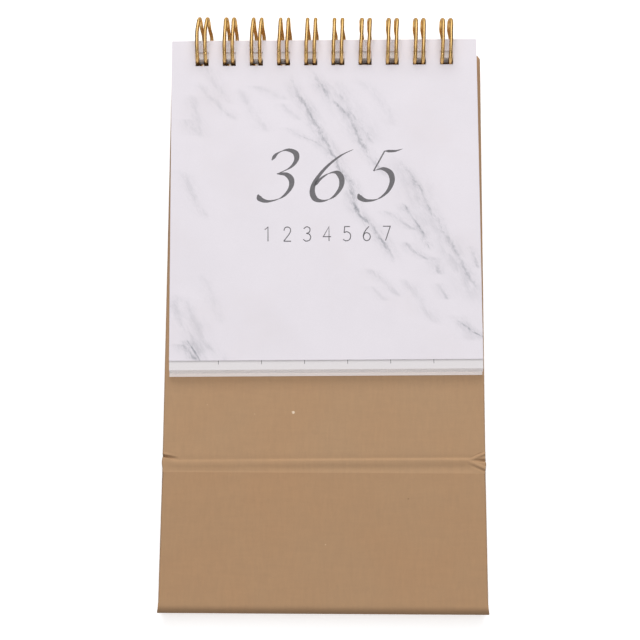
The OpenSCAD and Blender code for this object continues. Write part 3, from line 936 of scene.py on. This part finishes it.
# thin figures in a box 0.6 wide and 1 high: list of (points, smooth, closed)
FIGURES = {
    "0": [([(0.3, 1.0), (0.52, 0.78), (0.56, 0.5), (0.52, 0.22), (0.3, 0.0), (0.08, 0.22), (0.04, 0.5), (0.08, 0.78)], True, True)],
    "1": [([(0.12, 0.82), (0.34, 1.0), (0.34, 0.0)], False, False)],
    "2": [([(0.07, 0.74), (0.13, 0.92), (0.3, 1.0), (0.48, 0.92), (0.53, 0.72), (0.42, 0.48), (0.22, 0.22), (0.05, 0.0)], True, False), ([(0.05, 0.0), (0.56, 0.0)], False, False)],
    "3": [([(0.07, 0.86), (0.18, 0.97), (0.32, 1.0), (0.47, 0.92), (0.5, 0.75), (0.42, 0.6), (0.24, 0.54)], True, False), ([(0.24, 0.54), (0.45, 0.48), (0.55, 0.28), (0.46, 0.07), (0.27, 0.0), (0.12, 0.04), (0.04, 0.14)], True, False)],
    "4": [([(0.44, 0.0), (0.44, 1.0), (0.04, 0.30), (0.58, 0.30)], False, False)],
    "5": [([(0.52, 1.0), (0.15, 1.0), (0.11, 0.56)], False, False), ([(0.11, 0.56), (0.22, 0.62), (0.36, 0.62), (0.52, 0.5), (0.56, 0.31), (0.48, 0.09), (0.28, 0.0), (0.12, 0.04), (0.05, 0.12)], True, False)],
    "6": [([(0.46, 1.0), (0.26, 0.78), (0.1, 0.5), (0.06, 0.28), (0.14, 0.07), (0.3, 0.0), (0.47, 0.08), (0.55, 0.28), (0.47, 0.48), (0.3, 0.56), (0.14, 0.49), (0.07, 0.32)], True, False)],
    "7": [([(0.05, 1.0), (0.56, 1.0), (0.22, 0.0)], False, False)],
    "8": [([(0.3, 1.0), (0.46, 0.92), (0.5, 0.77), (0.44, 0.62), (0.3, 0.55), (0.16, 0.62), (0.1, 0.77), (0.14, 0.92)], True, True), ([(0.3, 0.55), (0.48, 0.46), (0.55, 0.27), (0.48, 0.08), (0.3, 0.0), (0.12, 0.08), (0.05, 0.27), (0.12, 0.46)], True, True)],
    "9": [([(0.14, 0.0), (0.34, 0.22), (0.5, 0.5), (0.54, 0.72), (0.46, 0.93), (0.3, 1.0), (0.13, 0.92), (0.05, 0.72), (0.13, 0.52), (0.3, 0.44), (0.46, 0.51), (0.53, 0.68)], True, False)],
}


class Print:
    """Collects flat strokes as thin closed solids on a sheet's face."""

    def __init__(self, place, top=0.012, bottom=-0.01):
        self.place, self.top, self.bottom, self.v, self.f = place, top, bottom, [], []

    def stroke(self, pts, width, closed=False, nib=None, taper=0.0):
        """width is even; nib = (across, angle, hair) is a broad pen held at an angle."""
        p = [q for i, q in enumerate(pts) if i == 0 or hypot(q[0] - pts[i - 1][0], q[1] - pts[i - 1][1]) > 1e-5]
        n = len(p)
        base = len(self.v)
        left, right = [], []
        run = [0.0]
        for i in range(1, n):
            run.append(run[-1] + hypot(p[i][0] - p[i - 1][0], p[i][1] - p[i - 1][1]))
        for i in range(n):
            a = p[i - 1] if (closed or i > 0) else p[i]
            b = p[(i + 1) % n] if (closed or i < n - 1) else p[i]
            d1 = Vector((p[i][0] - a[0], p[i][1] - a[1]))
            d2 = Vector((b[0] - p[i][0], b[1] - p[i][1]))
            if d1.length < 1e-9:
                d1 = d2
            if d2.length < 1e-9:
                d2 = d1
            d1.normalize()
            d2.normalize()
            t = (d1 + d2)
            t = t.normalized() if t.length > 0.2 else d2
            nn = Vector((-t.y, t.x))
            k = min(1.8, 1 / max(0.35, abs(nn.dot(Vector((-d1.y, d1.x))))))
            if nib:
                w = nib[2] + nib[0] * abs(nn.dot(Vector((cos(nib[1]), sin(nib[1])))))
            else:
                w = width
            if taper:
                w *= 0.35 + 0.65 * smooth01(min(run[i], run[-1] - run[i]) / taper)
            left.append((p[i][0] + nn.x * w / 2 * k, p[i][1] + nn.y * w / 2 * k))
            right.append((p[i][0] - nn.x * w / 2 * k, p[i][1] - nn.y * w / 2 * k))
        for i in range(n):
            for q, h in ((left[i], self.top), (right[i], self.top), (right[i], self.bottom), (left[i], self.bottom)):
                self.v.append(self.place(q[0], q[1], h))
        for i in range(n if closed else n - 1):
            a, b = base + 4 * i, base + 4 * ((i + 1) % n)
            for j in range(4):
                k = (j + 1) % 4
                self.f.append((a + j, a + k, b + k, b + j))
        if not closed:
            self.f.append(tuple(base + j for j in range(4)))
            self.f.append(tuple(base + 4 * (n - 1) + j for j in (3, 2, 1, 0)))

    def figure(self, ch, x, y, h, width):
        for pts, curved, closed in FIGURES[ch]:
            q = [(x + a * h, y + b * h) for a, b in pts]
            if curved:
                q = spline(q, closed, 3)
            self.stroke(q, width, closed)

    def number(self, text, x, y, h, width, gap=0.12, centre=True):
        w = len(text) * 0.6 * h + (len(text) - 1) * gap * h
        x0 = x - w / 2 if centre else x
        for i, ch in enumerate(text):
            self.figure(ch, x0 + i * (0.6 + gap) * h, y, h, width)

    def build(self, name, material, body):
        ob = mesh_object(name, self.v, self.f, material, False)
        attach(ob, body)
        return ob


# cover: large pen figures over a row of thin spaced ones
cover_face = COVER_Z + cover_t
LARGE = {
    "3": [[(0.09, 0.80), (0.16, 0.93), (0.33, 1.0), (0.52, 0.94), (0.58, 0.80), (0.50, 0.65), (0.28, 0.535)],
          [(0.27, 0.535), (0.46, 0.52), (0.60, 0.41), (0.62, 0.24), (0.50, 0.07), (0.27, 0.0), (0.09, 0.04), (0.01, 0.13)]],
    "6": [[(0.66, 1.0), (0.44, 0.88), (0.22, 0.66), (0.08, 0.40), (0.07, 0.20), (0.17, 0.045), (0.34, 0.0), (0.52, 0.07), (0.62, 0.25), (0.59, 0.43), (0.46, 0.55), (0.30, 0.53), (0.16, 0.42), (0.085, 0.29)]],
    "5": [[(0.64, 1.005), (0.50, 0.965), (0.29, 0.965)],
          [(0.29, 0.965), (0.235, 0.77), (0.18, 0.575)],
          [(0.18, 0.575), (0.34, 0.62), (0.52, 0.54), (0.61, 0.37), (0.57, 0.17), (0.42, 0.03), (0.22, 0.0), (0.07, 0.05), (0.0, 0.13)]],
}
big = Print(lambda x, y, h: page(x + sheet_side, COVER_BOT + y * rise, cover_face + h))
size, slant = 16.0, 0.30
for ch, x0 in (("3", -21.4), ("6", -5.9), ("5", 9.6)):
    for n, pts in enumerate(LARGE[ch]):
        q = spline(pts, False, 10)
        q = [(x0 + (a + slant * b) * size * 0.96, 48.6 + b * size) for a, b in q]
        if ch == "5" and n == 1:
            big.stroke(q, 0.42)
        else:
            big.stroke(q, 0, False, nib=(1.55, radians(22), 0.22), taper=1.3)
big.build("cover_print_large", M_INK, "cover")
row = Print(lambda x, y, h: page(x + sheet_side, COVER_BOT + y * rise, cover_face + h))
for i in range(7):
    row.number(str(i + 1), -17.7 + i * 6.08, 36.2, 4.4, 0.30)
row.build("cover_print_row", M_INK_THIN, "cover")

# months: a grid of seven columns with day numbers, and the month's number above it
STARTS = [1, 4, 5, 1, 3, 6, 1, 4, 0, 2, 5, 0]
DAYS = [31, 29, 31, 30, 31, 30, 31, 31, 30, 31, 30, 31]
col_w = 13.03
for k in range(1, 13):
    cy, top, bot = month_place(k)
    z = month_z(k) + month_t
    dx = month_x(k)
    pr = Print(lambda x, y, h, z=z, dx=dx: page(x + dx + sheet_side, y, z + h), 0.008, -0.01)
    g0, g1 = bot + 1.65, bot + 63.5
    rows = (STARTS[k - 1] + DAYS[k - 1] + 6) // 7
    rh = (g1 - 4.2 - g0) / 6
    for j in range(6):
        x = (j - 2.5) * col_w
        pr.stroke([(x, g0), (x, g1)], 0.16)
    for r in range(6):
        y = g1 - 4.2 - r * rh
        pr.stroke([(-3.5 * col_w, y), (3.5 * col_w, y)], 0.16 if r else 0.3)
    pr.stroke([(-3.5 * col_w, g1), (3.5 * col_w, g1)], 0.3)
    for j in range(7):
        pr.number(str(j + 1), (j - 3) * col_w, g1 - 3.0, 1.8, 0.16)
    for d in range(DAYS[k - 1]):
        c = STARTS[k - 1] + d
        x = (c % 7 - 3.5) * col_w + 1.2
        y = g1 - 4.2 - (c // 7) * rh - 3.7
        pr.number(str(d + 1), x, y, 2.5, 0.22, centre=False)
    pr.number(str(k), -3.5 * col_w + 5.2, g1 + 7.5, 11.0, 0.55, 0.10)
    pr.stroke([(-3.5 * col_w + 15.5, g1 + 7.5), (3.5 * col_w, g1 + 7.5)], 0.2)
    pr.build("month_%02d_print" % k, M_INK_THIN, "month_%02d" % k)

# ---------------------------------------------------------------- floor, light, camera
s = Shader("studio_floor")
s.set(Base_Color=s.mix(s.range(s.noise(3, 2), 0.3, 0.7), (0.90, 0.90, 0.90), (0.92, 0.92, 0.92)), Roughness=0.7)
s.b.inputs["Emission Color"].default_value = (1, 1, 1, 1)
spot = s.t.nodes.new("ShaderNodeSeparateXYZ")
s.put(spot.inputs[0], s.co)
# the floor's glow fades to nothing under the calendar's footprint: a painted shadow beneath it, seen through the holes
past_painted_shadow = s.math("MAXIMUM", s.math("SUBTRACT", s.math("ABSOLUTE", spot.outputs[0]), 0.040),
              s.math("SUBTRACT", s.math("ABSOLUTE", s.math("ADD", spot.outputs[1], 0.0003)), 0.0847))
s.set(Emission_Strength=s.range(past_painted_shadow, 0.0, 0.006, 0.0, 0.42, True))
fl = mesh_object("floor", [(-3, -3, 0), (3, -3, 0), (3, 3, 0), (-3, 3, 0)], [(0, 1, 2, 3)], s.m, False)
fl.visible_glossy = False
fl.visible_diffuse = False

world = bpy.data.worlds.new("studio")
bpy.context.scene.world = world
world.use_nodes = True
wt = world.node_tree
wt.nodes.clear()
wo = wt.nodes.new("ShaderNodeOutputWorld")
wb = wt.nodes.new("ShaderNodeBackground")
wc = wt.nodes.new("ShaderNodeTexCoord")
sep = wt.nodes.new("ShaderNodeSeparateXYZ")
wt.links.new(wc.outputs["Generated"], sep.inputs[0])


def world_range(sock, a, b, c, d):
    n = wt.nodes.new("ShaderNodeMapRange")
    n.interpolation_type = "SMOOTHSTEP"
    wt.links.new(sock, n.inputs[0])
    for i, x in enumerate((a, b, c, d)):
        n.inputs[1 + i].default_value = x
    return n.outputs[0]


def world_math(op, a, b):
    n = wt.nodes.new("ShaderNodeMath")
    n.operation = op
    for i, x in enumerate((a, b)):
        if isinstance(x, bpy.types.NodeSocket):
            wt.links.new(x, n.inputs[i])
        elif x is not None:
            n.inputs[i].default_value = x
    return n.outputs[0]


# dome: bright overhead, dim at the horizon, with a pale wall behind the wire
aside = world_math("ABSOLUTE", sep.outputs[0], None)
dome = world_range(sep.outputs[2], 0.0, 0.85, 0.06, 0.28)
zenith = world_math("SUBTRACT", sep.outputs[2], world_math("MULTIPLY", aside, 0.55))
dome = world_math("ADD", dome, world_range(zenith, 0.40, 0.85, 0.0, 1.15))
# the pale table below, seen from the underside and in the wire
table = world_math("ADD", sep.outputs[2], world_math("MULTIPLY", aside, 0.45))
dome = world_math("ADD", dome, world_range(table, -0.10, -0.50, 0.0, 0.90))
wall = world_math("SUBTRACT", sep.outputs[1], world_math("MULTIPLY", aside, 0.6))
wall = world_math("ADD", wall, world_math("MULTIPLY", world_math("MINIMUM", sep.outputs[2], 0.0), 1.2))
wall = world_range(wall, 0.20, 0.75, 0.0, 1.10)
wt.links.new(world_math("ADD", dome, wall), wb.inputs["Strength"])
wb.inputs["Color"].default_value = (1.0, 0.995, 1.0, 1)
wt.links.new(wb.outputs[0], wo.inputs[0])


def area(name, loc, aim, size, power, color=(1, 1, 1)):
    l = bpy.data.lights.new(name, "AREA")
    l.shape, l.size, l.size_y, l.energy, l.color = "RECTANGLE", size[0], size[1], power, color
    ob = bpy.data.objects.new(name, l)
    ob.location = loc
    ob.rotation_euler = (Vector(aim) - Vector(loc)).to_track_quat("-Z", "Y").to_euler()
    bpy.context.scene.collection.objects.link(ob)
    return ob


area("key", (0.03, 1.00, 0.66), (0, 0, 0), (0.9, 0.45), 7.0).visible_glossy = False
area("front_fill", (0.0, -1.0, 0.35), (0, 0, 0), (1.2, 0.5), 0.6).visible_glossy = False
# only mirrored in the wire: a pale card low in front, and a narrow lamp over it
area("front_card", (0.0, -1.0, 0.20), (0, 0, 0.05), (1.4, 0.7), 1.7).visible_diffuse = False
area("front_strip", (0.0, -0.83, 0.56), (0, 0, 0), (0.30, 0.06), 0.45).visible_diffuse = False

cam = bpy.data.cameras.new("camera")
co = bpy.data.objects.new("camera", cam)
bpy.context.scene.collection.objects.link(co)
cam.sensor_width, cam.sensor_fit = 36, "HORIZONTAL"
cam.lens = 1446.64 * 36 / 640
co.location = (0.001480, -0.086910, 0.439983)
co.rotation_euler = (radians(10.7895), radians(0.3169), radians(0.3350))
cam.clip_start, cam.clip_end = 0.005, 20
bpy.context.scene.camera = co
bpy.context.scene.view_settings.view_transform = "Standard"
bpy.context.scene.view_settings.look = "None"
